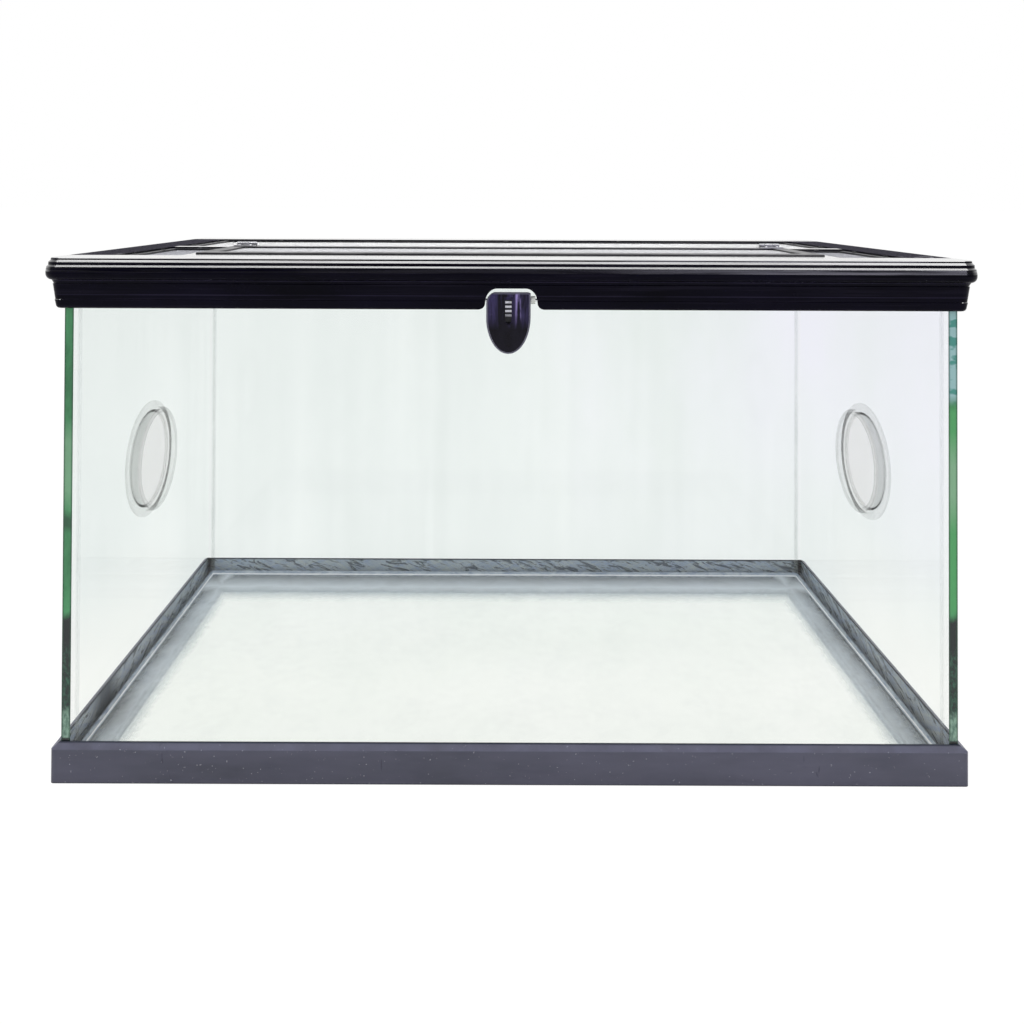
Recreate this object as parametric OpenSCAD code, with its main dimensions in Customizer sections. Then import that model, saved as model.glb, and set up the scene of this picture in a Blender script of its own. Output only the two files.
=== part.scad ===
// Reptile terrarium: a glass tank with round side vents in a moulded base,
// and a black cornice lid hinged at the back, with mesh windows, a feeding
// door and a swinging tongue latch at the front.
// Millimetres. +Z is up, -Y is the front, the origin is the base's centre.

/* [Tank] */
// Width across the outside of the glass
tank_w = 600; // [520:5:720]
// Depth across the outside of the glass
tank_d = 300; // [280:5:380]
// Thickness of the glass
glass_t = 6; // [5:0.5:8]
// Height of the glass panels' top edges above the table
glass_top = 334; // [320:1:420]
// Leg of the silicone beads in the inner corners
seal_leg = 3; // [2:0.5:4]

/* [Base frame] */
// How far the base frame stands out from the glass
base_over = 5; // [4:0.5:7]
// Height of the base frame's upright face
base_face = 22; // [18:1:30]
// Height of the bevel above that face
base_bevel = 3; // [2:0.5:5]
// Height of the ledge that carries the glass
ledge_z = 6; // [5:0.5:8]
// Width of the ledge inside the glass
ledge_w = 15; // [10:1:25]
// Radius of the base frame's upright corner edges
base_corner_r = 2.5; // [1:0.5:4]

/* [Side vents] */
// Height of the vents' centre above the table
vent_z = 170; // [120:5:220]
// Radius of the vents' flanges
vent_flange_r = 47; // [44:0.5:52]
// Radius of the hole in the glass
vent_hole_r = 42; // [40:0.5:43]
// Pitch of the vents' net
vent_pitch = 13.5; // [12:0.5:16]

/* [Lid] */
// How far the flange stands out from the glass
lid_over = 12; // [11:0.5:13]
// Height of the skirt's lower edge
skirt_z = 314.5; // [300:0.5:318]
// Height of the rim's top face
rim_z = 348.5; // [346:0.5:356]
// Width of the rim, from the glass's outer face inwards
rim_w = 23; // [20:1:30]
// Pitch of the mesh windows' net
mesh_pitch = 20; // [18:1:30]

/* [Feeding door] */
// Half the width of the door
door_half = 226; // [180:1:240]
// Distance from the tank's centre back to the door's front edge
door_front = 110; // [104:1:133]
// Distance from the tank's centre back to the door's rear edge
door_rear = 16; // [10:1:40]
// Offset of each door hinge from the middle
door_hinge_x = 216; // [120:1:218]

/* [Lid hinges] */
// Offset of each lid hinge from the middle
hinge_x = 190; // [120:5:240]
// Distance of the hinge axis behind the glass's outer face
hinge_gap = 6; // [6:0.1:6.2]
// Height of the hinge axis
hinge_z = 306; // [300:0.5:308]

/* [Latch] */
// Offset of the tongue from the notch's middle
tongue_x = -2; // [-2:0.5:0]
// Half the width of the tongue
tongue_half = 14.8; // [12:0.1:15]
// Height of the latch pin's axis
latch_z = 321.2; // [320.5:0.1:321.5]

/* [Hidden] */

$fn = 64;
eps = 0.01;
half_w = tank_w / 2;
half_d = tank_d / 2;
in_w = half_w - glass_t;
in_d = half_d - glass_t;
base_top = base_face + base_bevel;
floor_top = ledge_z + glass_t;

// Vent rings, measured outwards from the glass's inner face
vent_clear = 0.2;
vent_barrel_r = vent_hole_r - vent_clear;
vent_seat_r = vent_barrel_r - 2.2;
vent_bore_r = vent_seat_r - 2;
vent_flange_t = 2.5;
vent_rim_t = 1.2;
vent_lip_t = 0.8;
vent_mesh_t = 0.7;
vent_mesh_u = glass_t + 0.95;
vent_bar = 1.2;

// Lid layout
skirt_in = 2;
pocket_r = 1.5;
plate_t = 3;
wall_t = 2.5;
rim_in_w = half_w - rim_w;
rim_in_d = half_d - rim_w;
bar_low = rim_z - 8.5;
mesh_low = rim_z - 3.3;
mesh_t = 0.8;
mesh_bar = 1.2;
mesh_edge = 5;
mesh_ledge = 4;
mesh_gap = 0.3;
retainer_w = 5;
retainer_t = 1.2;
rib_t = 2;
rib_step = 58;

// Door layout
door_t = 1;
door_lap = 8;
door_lap_front = 9;
door_lap_rear = 10;
door_clear = 0.8;
door_lip_t = 2.2;
win_half = door_half - door_lap;
win_front = door_front - door_lap_front;
win_rear = door_rear + door_lap_rear;
side_in = door_half + 4;
rear_in = door_rear - 12;

// Door hinges
leaf_half = 8;
leaf_t = 0.8;
knuckle_r = 1.6;
door_pin_r = 0.7;
door_axis_y = -(door_rear - 2);
door_axis_z = rim_z + 2.7;

// Lid hinges
hinge_y = half_d + hinge_gap;
hinge_r = 3.8;
pin_r = 1.5;
pin_bore_r = 1.55;
bracket_half = 16.2;
ear_in = 16.8;
ear_out = 23.8;
pad_t = 0.5;

// Notch in the front skirt: an arch with flared feet
notch_top = skirt_z + 14.5;
notch_spring = skirt_z + 4.5;
notch_flat = 9.5;
notch_rx = 8;
notch_foot = 5.5;

// Tongue latch, by distance in front of the glass's outer face
latch_y = -(half_d + 4.5);
latch_pin_r = 1;
latch_bore_r = 1.05;
tongue_front = half_d + 8.8;
tongue_back = half_d + 5.7;
tongue_bevel = 1.2;
tongue_top = latch_z + 5.4;
tongue_waist = latch_z - 11;
tongue_low = latch_z - 35.4;
knuckle_big_r = 2.3;
slot_half = 2.1;
slot_low = latch_z - 15.4;
slot_high = latch_z - 3.4;
recess_half = 2.9;
recess_low = latch_z - 16.1;
recess_high = latch_z + 2.4;
recess_t = 1;
hook_half = 5;
hook_high = latch_z - 31.5;
hook_low = latch_z - 33.7;
hook_reach = half_d + 3.3;
keeper_face = half_d + 2.7;
keeper_back = half_d + 0.4;
keeper_half = 9;
keeper_low = latch_z - 31;
keeper_mid = latch_z - 26.2;
keeper_high = latch_z - 20.7;
keeper_lip = 0.6;
keeper_pocket = 4.2;

// Slider in the tongue
thumb_half = 2.1;
thumb_low = latch_z - 11;
thumb_high = latch_z + 0.4;
thumb_front = tongue_front + 0.4;
rib_count = 4;
rib_pitch = 2.9;
shank_half = 1.7;
shank_low = latch_z - 9.5;
shank_high = latch_z - 4.2;
clip_t = 0.8;
clip_half = 4;
clip_low = latch_z - 14.4;
clip_high = latch_z - 3.7;
finger_low = latch_z - 20.2;
finger_reach = half_d + 3.1;
finger_t = 0.6;
finger_half = 3;

black = [0.05, 0.05, 0.06];
dark_grey = [0.33, 0.32, 0.38];
glass_tint = [0.72, 0.86, 0.8, 0.35];
clear_grey = [0.78, 0.8, 0.8, 0.8];
steel = [0.78, 0.79, 0.8];

// ---------- shared shapes ----------

// A profile of [overhang, z] points drawn at both ends of a half width
function outline(profile, half) = concat(
    [for (p = profile) [half + p[0], p[1]]],
    [for (i = [len(profile) - 1 : -1 : 0]) [-half - profile[i][0], profile[i][1]]]
);

// Points of an elliptic arc, for use in a profile
function arc(centre, rx, rz, from, to, steps) =
    [for (i = [0 : steps])
        let (a = from + (to - from) * i / steps) [centre[0] + rx * cos(a), centre[1] + rz * sin(a)]];

// An envelope whose overhang beyond the glass follows a profile, with mitred corners
module mitred(profile, w = half_w, d = half_d) {
    reach = 4 * w;
    intersection() {
        rotate([90, 0, 0]) linear_extrude(reach, center = true) polygon(outline(profile, w));
        rotate([90, 0, 90]) linear_extrude(reach, center = true) polygon(outline(profile, d));
    }
}

// The same, with the profile turned about the glass's corners instead
module swept(profile) {
    low = [0, profile[0][1]];
    top = [0, profile[len(profile) - 1][1]];
    rotate([90, 0, 0]) linear_extrude(tank_d, center = true) polygon(outline(profile, half_w));
    rotate([90, 0, 90]) linear_extrude(tank_w, center = true) polygon(outline(profile, half_d));
    for (sx = [-1, 1], sy = [-1, 1])
        translate([sx * half_w, sy * half_d, 0]) rotate([0, 0, atan2(sy, sx) - 45])
            rotate_extrude(angle = 90) polygon(concat([low], profile, [top]));
}

// A flat rectangle with rounded corners
module rounded_rect(hw, hd, r) {
    square([2 * (hw - r), 2 * hd], center = true);
    square([2 * hw, 2 * (hd - r)], center = true);
    for (sx = [-1, 1], sy = [-1, 1]) translate([sx * (hw - r), sy * (hd - r)]) circle(r = r);
}

// A block given by its low and high corners
module block(low, high) {
    translate(low) cube(high - low);
}

// A disc or barrel along X
module x_cylinder(r, x0, x1, y, z) {
    translate([x0, y, z]) rotate([0, 90, 0]) cylinder(r = r, h = x1 - x0);
}

// A flat net: a border with square gaps at an even pitch
module net(x0, x1, y0, y1, z, border) {
    nx = floor((x1 - x0 - 2 * border) / mesh_pitch);
    ny = floor((y1 - y0 - 2 * border) / mesh_pitch);
    px = (x1 - x0 - 2 * border + mesh_bar) / nx;
    py = (y1 - y0 - 2 * border + mesh_bar) / ny;
    translate([0, 0, z]) linear_extrude(mesh_t) difference() {
        translate([x0, y0]) square([x1 - x0, y1 - y0]);
        for (i = [0 : nx - 1], j = [0 : ny - 1])
            translate([x0 + border + i * px, y0 + border + j * py])
                square([px - mesh_bar, py - mesh_bar]);
    }
}

// A flat frame between two rectangles
module flat_frame(x0, x1, y0, y1, z, width, thick) {
    translate([0, 0, z]) linear_extrude(thick) difference() {
        translate([x0, y0]) square([x1 - x0, y1 - y0]);
        translate([x0 + width, y0 + width])
            square([x1 - x0 - 2 * width, y1 - y0 - 2 * width]);
    }
}

// ---------- tank ----------

module base_frame() {
    color(dark_grey) difference() {
        intersection() {
            mitred([[base_over, 0], [base_over, base_face], [0.7, base_top]]);
            translate([0, 0, -1]) linear_extrude(base_top + 2)
                rounded_rect(half_w + base_over, half_d + base_over, base_corner_r);
        }
        // seat of the glass
        block([-half_w - 0.1, -half_d - 0.1, ledge_z], [half_w + 0.1, half_d + 0.1, base_top + 1]);
        // opening under the floor glass
        block([-in_w + ledge_w, -in_d + ledge_w, -1], [in_w - ledge_w, in_d - ledge_w, ledge_z + 1]);
        base_pockets();
    }
}

// Hollows under the base frame, with ribs between them
module base_pockets() {
    deep = ledge_z / 2;
    skin = 2.5;
    nx = 10;
    ny = 5;
    outer_w = half_w + base_over - skin;
    outer_d = half_d + base_over - skin;
    inner_w = in_w - ledge_w + skin;
    inner_d = in_d - ledge_w + skin;
    step_x = (2 * inner_w + rib_t) / nx;
    side_d = inner_d - rib_t;
    step_y = (2 * side_d + rib_t) / ny;
    for (s = [-1, 1]) {
        for (i = [0 : nx - 1])
            translate([-inner_w + i * step_x, s > 0 ? inner_d : -outer_d, -1])
                cube([step_x - rib_t, outer_d - inner_d, deep + 1]);
        for (j = [0 : ny - 1])
            translate([s > 0 ? inner_w : -outer_w, -side_d + j * step_y, -1])
                cube([outer_w - inner_w, step_y - rib_t, deep + 1]);
    }
}

module bottom_glass() {
    color(glass_tint)
        block([-in_w + 0.2, -in_d + 0.2, ledge_z], [in_w - 0.2, in_d - 0.2, floor_top]);
}

module front_glass() {
    color(glass_tint) block([-in_w, -half_d, ledge_z], [in_w, -in_d, glass_top]);
}

module back_glass() {
    color(glass_tint) block([-in_w, in_d, ledge_z], [in_w, half_d, glass_top]);
}

module side_glass(s) {
    color(glass_tint) difference() {
        translate([s > 0 ? in_w : -half_w, -half_d, ledge_z])
            cube([glass_t, tank_d, glass_top - ledge_z]);
        x_cylinder(vent_hole_r, s * half_w - glass_t * 2, s * half_w + glass_t * 2, 0, vent_z);
    }
}

// Four upright beads of silicone in the inner corners
module corner_seals() {
    hollow = arc([seal_leg, seal_leg], seal_leg, seal_leg, 270, 180, 6);
    color(clear_grey)
        for (mx = [0, 1], my = [0, 1]) mirror([mx, 0, 0]) mirror([0, my, 0])
            translate([-in_w, -in_d, floor_top + seal_leg])
                linear_extrude(glass_top - floor_top - seal_leg - 1)
                    polygon(concat([[0, 0]], hollow));
}

// The bead round the floor glass
module floor_seal() {
    hollow = arc([-seal_leg, floor_top + seal_leg], seal_leg, seal_leg, -90, 0, 6);
    color(clear_grey) difference() {
        block([-in_w, -in_d, floor_top], [in_w, in_d, floor_top + seal_leg - eps]);
        mitred(concat([[-seal_leg, floor_top - 1]], hollow, [[0, floor_top + seal_leg + 1]]), in_w, in_d);
    }
}

// A vent piece turned from its half section, seen from the tank's middle
module vent_turned(s, section) {
    translate([s * in_w, 0, vent_z]) rotate([0, s * 90, 0]) rotate_extrude($fn = 96) polygon(section);
}

module vent_outer(s) {
    edge = 0.8;
    face = glass_t + vent_flange_t;
    lip = face - vent_lip_t;
    color(clear_grey) vent_turned(s, [
        [vent_seat_r, 0], [vent_barrel_r, 0], [vent_barrel_r, glass_t],
        [vent_flange_r, glass_t], [vent_flange_r, face - edge], [vent_flange_r - edge, face],
        [vent_bore_r - 0.1, face], [vent_bore_r - 0.1, lip], [vent_seat_r, lip]
    ]);
}

// The sleeve that clamps the net; its rim covers the barrel's inner end
module vent_inner(s) {
    edge = 0.4;
    color(clear_grey) vent_turned(s, [
        [vent_bore_r, -vent_rim_t], [vent_barrel_r - edge, -vent_rim_t],
        [vent_barrel_r, edge - vent_rim_t], [vent_barrel_r, 0],
        [vent_seat_r - 0.15, 0], [vent_seat_r - 0.15, vent_mesh_u - 0.05],
        [vent_bore_r, vent_mesh_u - 0.05]
    ]);
}

module vent_mesh(s) {
    border = 2.5;
    net_r = vent_seat_r - 0.3;
    count = ceil(net_r / vent_pitch);
    gap = vent_pitch - vent_bar;
    color(steel) translate([s * (in_w + vent_mesh_u), 0, vent_z]) rotate([0, s * 90, 0])
        linear_extrude(vent_mesh_t) difference() {
            circle(r = net_r);
            for (i = [-count : count], j = [-count : count])
                if (norm([abs(i) + 0.5, abs(j) + 0.5]) * vent_pitch < net_r - border)
                    translate([i * vent_pitch, j * vent_pitch]) square(gap, center = true);
        }
}

// A bracket glued to the back glass, whose barrel holds the hinge pin
module hinge_bracket(s) {
    foot = half_d + pad_t;
    plate_low = hinge_z - 27;
    plate_high = hinge_z - 8;
    color(black) translate([s * hinge_x, 0, 0]) difference() {
        union() {
            block([-bracket_half, foot, plate_low], [bracket_half, foot + 2.5, plate_high]);
            rotate([90, 0, 90]) linear_extrude(2 * bracket_half, center = true) polygon([
                [foot, plate_high - 6], [foot + 2.5, plate_high - 6], [hinge_y + 3.2, hinge_z - 2.2],
                [hinge_y - 2.6, hinge_z + 2.6], [foot, hinge_z - 4]
            ]);
            x_cylinder(hinge_r, -bracket_half, bracket_half, hinge_y, hinge_z);
        }
        x_cylinder(pin_r + 0.01, -bracket_half - 1, bracket_half + 1, hinge_y, hinge_z);
    }
}

module hinge_pin(s) {
    head_r = 2.3;
    head_t = 1;
    color(steel) translate([s * hinge_x, 0, 0]) {
        x_cylinder(pin_r, -ear_out, ear_out + 0.2, hinge_y, hinge_z);
        x_cylinder(head_r, ear_out + 0.2, ear_out + 0.2 + head_t, hinge_y, hinge_z);
    }
}

module hinge_pads() {
    color([0.85, 0.85, 0.85]) for (s = [-1, 1])
        translate([s * hinge_x - bracket_half, half_d, hinge_z - 26]) cube([2 * bracket_half, pad_t, 17]);
}

// The keeper behind the tongue: the hook catches under its foot, and the
// slider's finger drops behind its lip.
module latch_keeper() {
    color(black) translate([tongue_x, 0, 0]) difference() {
        block([-keeper_half, -keeper_face, keeper_low], [keeper_half, -keeper_back, keeper_high]);
        block([-keeper_pocket, -keeper_face + keeper_lip, keeper_mid],
              [keeper_pocket, -keeper_back + 1, keeper_high + 1]);
    }
}

module keeper_pad() {
    color([0.85, 0.85, 0.85]) translate([tongue_x, 0, 0])
        block([-keeper_half, -keeper_back, keeper_low], [keeper_half, -half_d, keeper_mid]);
}

// ---------- lid ----------

// The cornice: a rounded lower edge, a skirt with two fine steps, the flange,
// and a riser, a tread and a riser up to the rim
function lid_profile() = concat(
    arc([lid_over - 9, skirt_z + 2.6], 2.6, 2.6, -90, 0, 4),
    [
        [lid_over - 5.7, skirt_z + 5.9], [lid_over - 6.05, skirt_z + 6.25],
        [lid_over - 4.5, skirt_z + 16.7], [lid_over - 4.9, skirt_z + 17.1]
    ],
    arc([lid_over - 3.6, rim_z - 10.5], 3.6, 4.2, -90, 0, 5),
    [
        [lid_over, rim_z - 9.2], [lid_over - 0.5, rim_z - 5.9], [lid_over - 1.6, rim_z - 4.8],
        [lid_over - 1.7, rim_z - 2.8], [lid_over - 3.1, rim_z - 1.4],
        [lid_over - 3.2, rim_z - 0.4], [lid_over - 3.6, rim_z]
    ]
);

// The arch of the notch; grown inwards by side and top clearances, it also
// bounds the tongue's shoulders.
module notch_arch(side, top, low) {
    rx = notch_rx - side;
    rz = notch_top - notch_spring - top;
    right = [for (a = [0 : 9 : 90]) [notch_flat + rx * cos(a), notch_spring + rz * sin(a)]];
    left = [for (a = [90 : 9 : 180]) [-notch_flat + rx * cos(a), notch_spring + rz * sin(a)]];
    polygon(concat([[notch_flat + rx, low]], right, left, [[-notch_flat - rx, low]]));
}

// The notch with its flared feet
module notch_outline() {
    foot_h = notch_spring - skirt_z;
    side = notch_flat + notch_rx;
    notch_arch(0, 0, skirt_z - 1);
    for (s = [-1, 1])
        polygon([
            [s * (side - 1), notch_spring],
            for (a = [0 : 15 : 90])
                [s * (side + notch_foot * (1 - cos(a))), notch_spring - foot_h * sin(a)],
            [s * (side + notch_foot), skirt_z - 1], [s * (side - 1), skirt_z - 1]
        ]);
}

// One lid hinge's pair of ears, moulded on the rear skirt
module hinge_ears(s) {
    neck_top = skirt_z + 4;
    for (side = [-1, 1])
        translate([s * hinge_x + side * (ear_in + ear_out) / 2, 0, 0]) {
            rotate([90, 0, 90]) linear_extrude(ear_out - ear_in, center = true) polygon([
                [hinge_y - hinge_r, hinge_z], [hinge_y + hinge_r, hinge_z],
                [hinge_y - 0.6, neck_top], [hinge_y - hinge_r, neck_top]
            ]);
            x_cylinder(hinge_r, -(ear_out - ear_in) / 2, (ear_out - ear_in) / 2, hinge_y, hinge_z);
        }
}

// Ribs across the hollow rim; their lower edges stand on the glass
module rim_ribs() {
    top = rim_z - plate_t + eps;
    nx = floor(rim_in_w / rib_step);
    ny = floor(rim_in_d / rib_step);
    for (s = [-1, 1]) {
        for (i = [-nx : nx])
            translate([i * rib_step - rib_t / 2, s > 0 ? rim_in_d : -half_d - skirt_in - eps, glass_top])
                cube([rib_t, rim_w + skirt_in + eps, top - glass_top]);
        for (j = [-ny : ny])
            translate([s > 0 ? rim_in_w : -half_w - skirt_in - eps, j * rib_step - rib_t / 2, glass_top])
                cube([rim_w + skirt_in + eps, rib_t, top - glass_top]);
    }
}

module lid_frame() {
    low = skirt_z - 1;
    color(black) difference() {
        union() {
            difference() {
                swept(lid_profile());
                // space for the glass inside the skirt, up into the hollow rim
                difference() {
                    translate([0, 0, low]) linear_extrude(rim_z - plate_t - low)
                        rounded_rect(half_w + skirt_in, half_d + skirt_in, pocket_r);
                    block([-rim_in_w - wall_t, -rim_in_d - wall_t, glass_top],
                          [rim_in_w + wall_t, rim_in_d + wall_t, rim_z]);
                }
                // space under the bars
                block([-rim_in_w, -rim_in_d, low], [rim_in_w, rim_in_d, bar_low]);
            }
            rim_ribs();
            for (s = [-1, 1]) hinge_ears(s);
        }
        mesh_seats();
        door_window();
        for (s = [-1, 1])
            x_cylinder(pin_bore_r, s * hinge_x - ear_out - 1, s * hinge_x + ear_out + 1, hinge_y, hinge_z);
        translate([0, -half_d - skirt_in + 1, 0]) rotate([90, 0, 0]) linear_extrude(lid_over + 2)
            notch_outline();
        x_cylinder(latch_bore_r, -25, 25, latch_y, latch_z);
        for (p = screw_places()) translate([p[0], p[1], bar_low + 1]) cylinder(r = 0.8, h = rim_z);
    }
}

// The mesh windows as [x0, x1, y0, y1]: rear, left and right
function windows() = [
    [-rim_in_w, rim_in_w, -rear_in, rim_in_d],
    [-rim_in_w, -side_in, -rim_in_d, -door_rear],
    [side_in, rim_in_w, -rim_in_d, -door_rear]
];

module mesh_seats() {
    for (w = windows()) {
        block([w[0], w[2], mesh_low], [w[1], w[3], rim_z + 1]);
        block([w[0] + mesh_ledge, w[2] + mesh_ledge, bar_low - 1],
              [w[1] - mesh_ledge, w[3] - mesh_ledge, rim_z + 1]);
    }
}

module door_window() {
    block([-win_half, -win_front, bar_low - 1], [win_half, -win_rear, rim_z + 1]);
}

// A window's net, a little smaller than its seat
module window_mesh(w) {
    color(steel) difference() {
        net(w[0] + mesh_gap, w[1] - mesh_gap, w[2] + mesh_gap, w[3] - mesh_gap, mesh_low, mesh_edge);
        for (p = screw_places()) translate([p[0], p[1], mesh_low - 1]) cylinder(r = 0.9, h = mesh_t + 2);
    }
}

module window_retainer(w) {
    color(black) difference() {
        flat_frame(w[0] + mesh_gap, w[1] - mesh_gap, w[2] + mesh_gap, w[3] - mesh_gap,
                   mesh_low + mesh_t, retainer_w, retainer_t);
        for (p = screw_places()) translate([p[0], p[1], mesh_low]) cylinder(r = 0.9, h = 4);
    }
}

// Screws along the long and short sides of each window, clear of its corners
function screw_places() = let (inset = 2.6) [
    for (w = windows())
        let (long = w[1] - w[0], wide = w[3] - w[2],
             nx = max(1, round(long / 110)), ny = max(1, round(wide / 70)))
        each concat(
            [for (i = [0 : nx - 1], y = [w[2] + inset, w[3] - inset])
                [w[0] + (i + 0.5) * long / nx, y]],
            [for (j = [0 : ny - 1], x = [w[0] + inset, w[1] - inset])
                [x, w[2] + (j + 0.5) * wide / ny]]
        )
];

module retainer_screws() {
    seat = mesh_low + mesh_t + retainer_t;
    color([0.1, 0.1, 0.11]) for (p = screw_places()) translate([p[0], p[1], 0]) difference() {
        union() {
            translate([0, 0, seat - 5.5]) cylinder(r = 0.75, h = 5.5, $fn = 24);
            translate([0, 0, seat]) cylinder(r1 = 1.9, r2 = 1.3, h = 0.9, $fn = 24);
        }
        for (turn = [0, 90]) rotate([0, 0, turn]) translate([-1.1, -0.2, seat + 0.4]) cube([2.2, 0.4, 1]);
    }
}

module latch_pin() {
    color(steel) x_cylinder(latch_pin_r, -24.5, 24.5, latch_y, latch_z);
}

// The spacer that holds the tongue to the left of the notch
module latch_bush() {
    low = tongue_x + tongue_half + 0.3;
    high = notch_flat + notch_rx - 1.6;
    color([0.85, 0.86, 0.84]) difference() {
        x_cylinder(2.6, low, high, latch_y, latch_z);
        x_cylinder(latch_pin_r + 0.01, low - 1, high + 1, latch_y, latch_z);
    }
}

// ---------- feeding door ----------

// The fixed half of a door hinge: a leaf on the cross bar and two knuckles
module door_hinge_base(s) {
    color(steel) translate([s * door_hinge_x, 0, 0]) difference() {
        union() {
            block([-leaf_half, door_axis_y + 0.6, rim_z], [leaf_half, -rear_in - 1, rim_z + leaf_t]);
            for (side = [-1, 1]) translate([side * 5.6, 0, 0]) {
                block([-2.4, door_axis_y - 0.2, rim_z], [2.4, door_axis_y + 1.4, door_axis_z]);
                x_cylinder(knuckle_r, -2.4, 2.4, door_axis_y, door_axis_z);
            }
        }
        x_cylinder(door_pin_r + 0.01, -9, 9, door_axis_y, door_axis_z);
    }
}

// The moving half: a leaf on the door and the middle knuckle
module door_hinge_leaf(s) {
    low = rim_z + door_t;
    color(steel) translate([s * door_hinge_x, 0, 0]) difference() {
        union() {
            block([-leaf_half, -door_rear - 9, low], [leaf_half, -door_rear - 0.3, low + leaf_t]);
            block([-2.9, -door_rear - 1, low], [2.9, door_axis_y, low + leaf_t]);
            x_cylinder(knuckle_r, -2.9, 2.9, door_axis_y, door_axis_z);
        }
        x_cylinder(door_pin_r + 0.05, -9, 9, door_axis_y, door_axis_z);
        for (x = [-4.5, 4.5]) translate([x, -door_rear - 5, low - 1]) cylinder(r = 0.8, h = 3);
    }
}

module door_hinge_pin(s) {
    color(steel) translate([s * door_hinge_x, 0, 0])
        x_cylinder(door_pin_r, -8.4, 8.4, door_axis_y, door_axis_z);
}

module door_hinge_screws() {
    top = rim_z + door_t + leaf_t;
    color(steel) for (s = [-1, 1], x = [-4.5, 4.5])
        translate([s * door_hinge_x + x, -door_rear - 5, 0]) {
            translate([0, 0, rim_z + 0.2]) cylinder(r = 0.7, h = top - rim_z, $fn = 24);
            translate([0, 0, top]) cylinder(r1 = 1.5, r2 = 1.0, h = 0.5, $fn = 24);
        }
}

module door_frame() {
    inner = 4;
    edge = 0.5;
    color(black) difference() {
        intersection() {
            translate([0, -(door_front + door_rear) / 2, 0])
                mitred([[0, rim_z], [0, rim_z + door_t - edge], [-edge, rim_z + door_t]],
                       door_half, (door_front - door_rear) / 2);
            block([-door_half, -door_front, rim_z], [door_half, -door_rear, rim_z + door_t]);
        }
        block([-win_half + inner, -win_front + inner, rim_z - 1],
              [win_half - inner, -win_rear - inner, rim_z + door_t + 1]);
        for (p = door_screw_places()) translate([p[0], p[1], rim_z - 1]) cylinder(r = 0.7, h = door_t + 0.8);
        for (s = [-1, 1], x = [-4.5, 4.5])
            translate([s * door_hinge_x + x, -door_rear - 5, rim_z + 0.2]) cylinder(r = 0.75, h = 3);
    }
}

module door_mesh() {
    c = door_clear;
    color(steel) difference() {
        net(-win_half + c, win_half - c, -win_front + c, -win_rear - c, rim_z - mesh_t, mesh_edge);
        for (p = door_screw_places()) translate([p[0], p[1], rim_z - mesh_t - 1]) cylinder(r = 0.8, h = 3);
    }
}

// The ring under the door that clamps its net and drops into the window
module door_retainer() {
    c = door_clear;
    color(black) difference() {
        flat_frame(-win_half + c, win_half - c, -win_front + c, -win_rear - c,
                   rim_z - mesh_t - door_lip_t, 4, door_lip_t);
        for (p = door_screw_places())
            translate([p[0], p[1], rim_z - mesh_t - door_lip_t - 1]) cylinder(r = 0.8, h = 5);
    }
}

function door_screw_places() = let (inset = door_clear + 2, n = 4) [
    for (i = [0 : n - 1], y = [-win_front + inset, -win_rear - inset])
        [-win_half + (i + 0.5) * 2 * win_half / n, y],
    for (x = [-win_half + inset, win_half - inset]) [x, -(win_front + win_rear) / 2]
];

module door_screws() {
    seat = rim_z - mesh_t - door_lip_t;
    color([0.1, 0.1, 0.11]) for (p = door_screw_places()) translate([p[0], p[1], 0]) {
        translate([0, 0, seat]) cylinder(r = 0.65, h = door_lip_t + mesh_t + door_t - 0.4, $fn = 24);
        translate([0, 0, seat - 0.8]) cylinder(r1 = 1.1, r2 = 1.6, h = 0.8, $fn = 24);
    }
}

// ---------- tongue latch ----------

// The tongue from the front: straight sides, an elliptic lower end, and
// shoulders that follow the notch; inset draws the rim in.
module tongue_outline(inset = 0) {
    half = tongue_half - inset;
    drop = tongue_waist - tongue_low - inset;
    intersection() {
        translate([tongue_x, 0]) polygon(concat(
            [[half, tongue_top - inset], [-half, tongue_top - inset]],
            [for (a = [180 : 7.5 : 360]) [half * cos(a), tongue_waist + drop * sin(a)]]
        ));
        notch_arch(0.8 + inset, 2.2, tongue_low - 1);
    }
}

module latch_tongue() {
    color([0.12, 0.11, 0.17]) difference() {
        union() {
            translate([0, -tongue_back, 0]) rotate([90, 0, 0])
                linear_extrude(tongue_front - tongue_back - tongue_bevel) tongue_outline();
            hull() {
                translate([0, -tongue_front + tongue_bevel, 0]) rotate([90, 0, 0])
                    linear_extrude(eps) tongue_outline();
                translate([0, -tongue_front + eps, 0]) rotate([90, 0, 0])
                    linear_extrude(eps) tongue_outline(tongue_bevel);
            }
            x_cylinder(knuckle_big_r, tongue_x - tongue_half + 1, tongue_x + tongue_half - 1,
                       latch_y, latch_z);
            translate([tongue_x, 0, 0])
                block([-hook_half, -tongue_back - eps, hook_low], [hook_half, -hook_reach, hook_high]);
        }
        x_cylinder(latch_bore_r, -30, 30, latch_y, latch_z);
        translate([tongue_x, 0, 0]) {
            slot_cut(recess_half, recess_low, recess_high, tongue_front - recess_t);
            slot_cut(slot_half, slot_low, slot_high, tongue_back - 1);
        }
    }
}

// An upright slot with a round lower end, cut from the front in to a depth
module slot_cut(half, low, high, depth) {
    translate([0, -depth, 0]) rotate([90, 0, 0]) linear_extrude(tongue_front + 1 - depth) {
        translate([-half, low + half]) square([2 * half, high - low - half]);
        translate([0, low + half]) circle(r = half);
    }
}

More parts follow.
